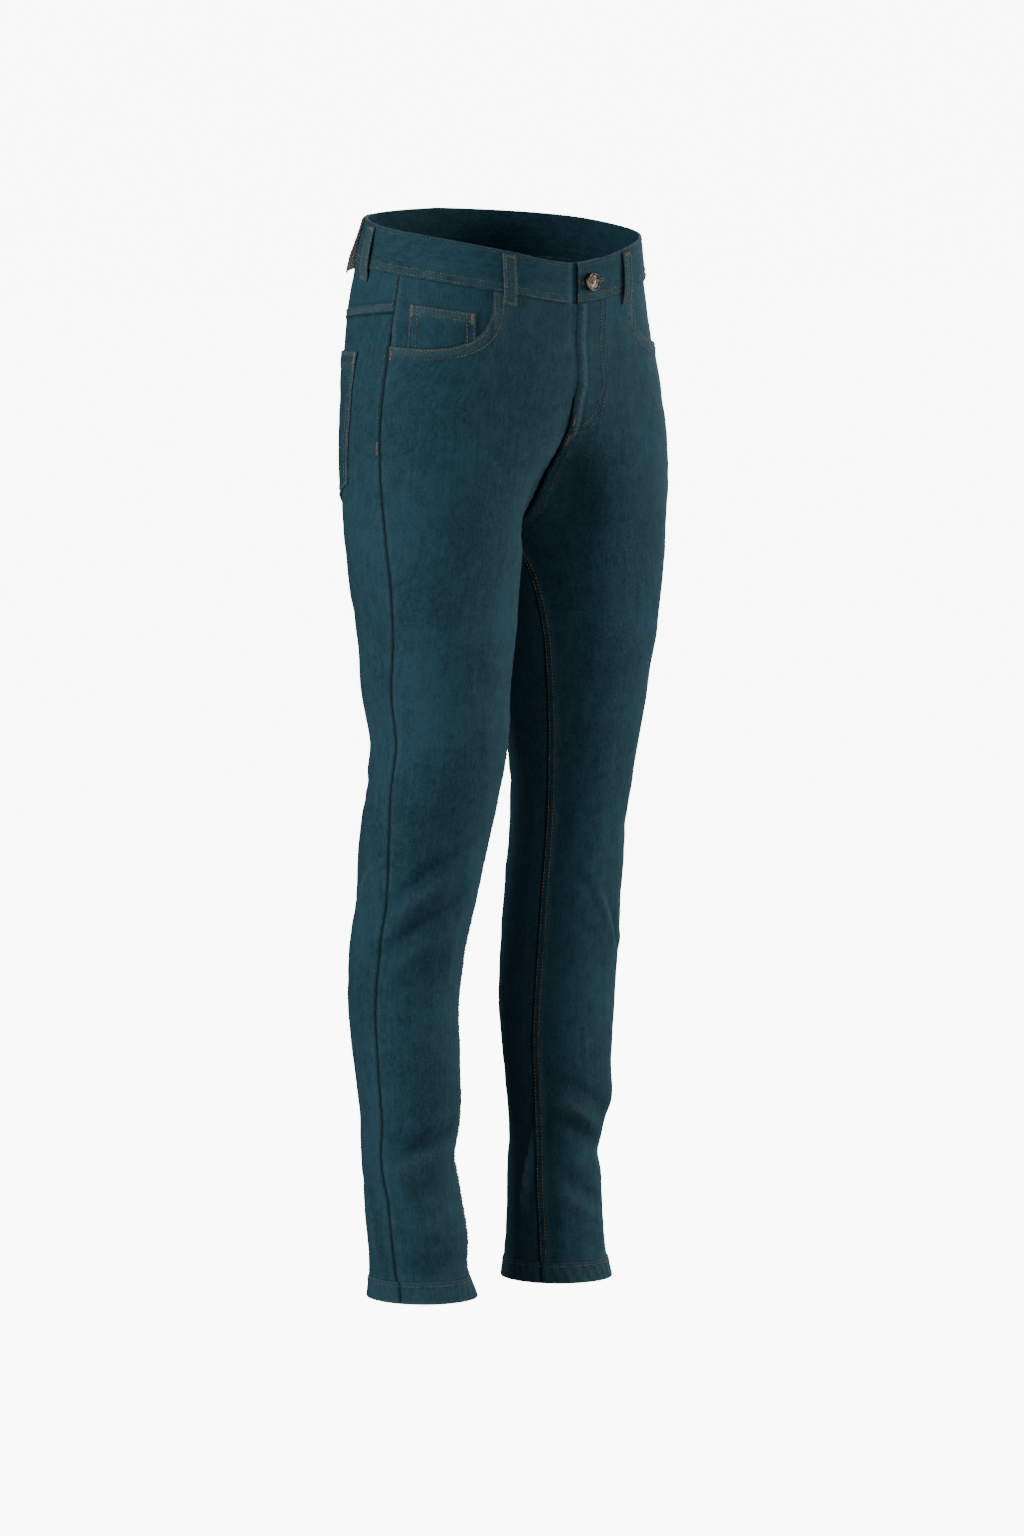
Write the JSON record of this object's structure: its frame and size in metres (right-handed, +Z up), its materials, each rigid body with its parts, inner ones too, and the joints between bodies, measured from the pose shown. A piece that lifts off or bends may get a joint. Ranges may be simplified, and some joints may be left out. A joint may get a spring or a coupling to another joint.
{
  "type": "slim jeans",
  "caption": "Slim five-pocket jeans in dark teal denim, hollow, in the shape they have when worn: buttoned band, curved hand pockets, patch pockets behind.",
  "frame": {"origin": "centre of the waist opening, level with the waistband's top edge at the sides", "axes": "+Z up towards the waist; the fly faces -Y and the wearer's left is +X"},
  "size_m": [0.3435, 0.23, 1.0365],
  "materials": {
    "denim": "matt stretch twill, overdyed dark teal, muted brown topstitching",
    "antique_brass": "aged, satin",
    "patch_leather": "dark brown, smooth, blank"
  },
  "bodies": {
    "root": {"front_right": "denim", "front_left": "denim", "back_right": "denim", "back_left": "denim", "yoke_right": "denim", "yoke_left": "denim", "pocket_facing_right": "denim", "pocket_facing_left": "denim", "coin_pocket": "denim", "back_pocket_right": "denim", "back_pocket_left": "denim", "hem_right": "denim", "hem_left": "denim", "waistband": "denim", "belt_loop_front_right": "denim", "belt_loop_front_left": "denim", "belt_loop_side_right": "denim", "belt_loop_side_left": "denim", "belt_loop_back": "denim", "fly_shield": "denim", "fly_zip": "antique_brass", "button_cap": "antique_brass", "button_shank": "antique_brass", "blank_patch": "patch_leather"}
  },
  "joints": []
}
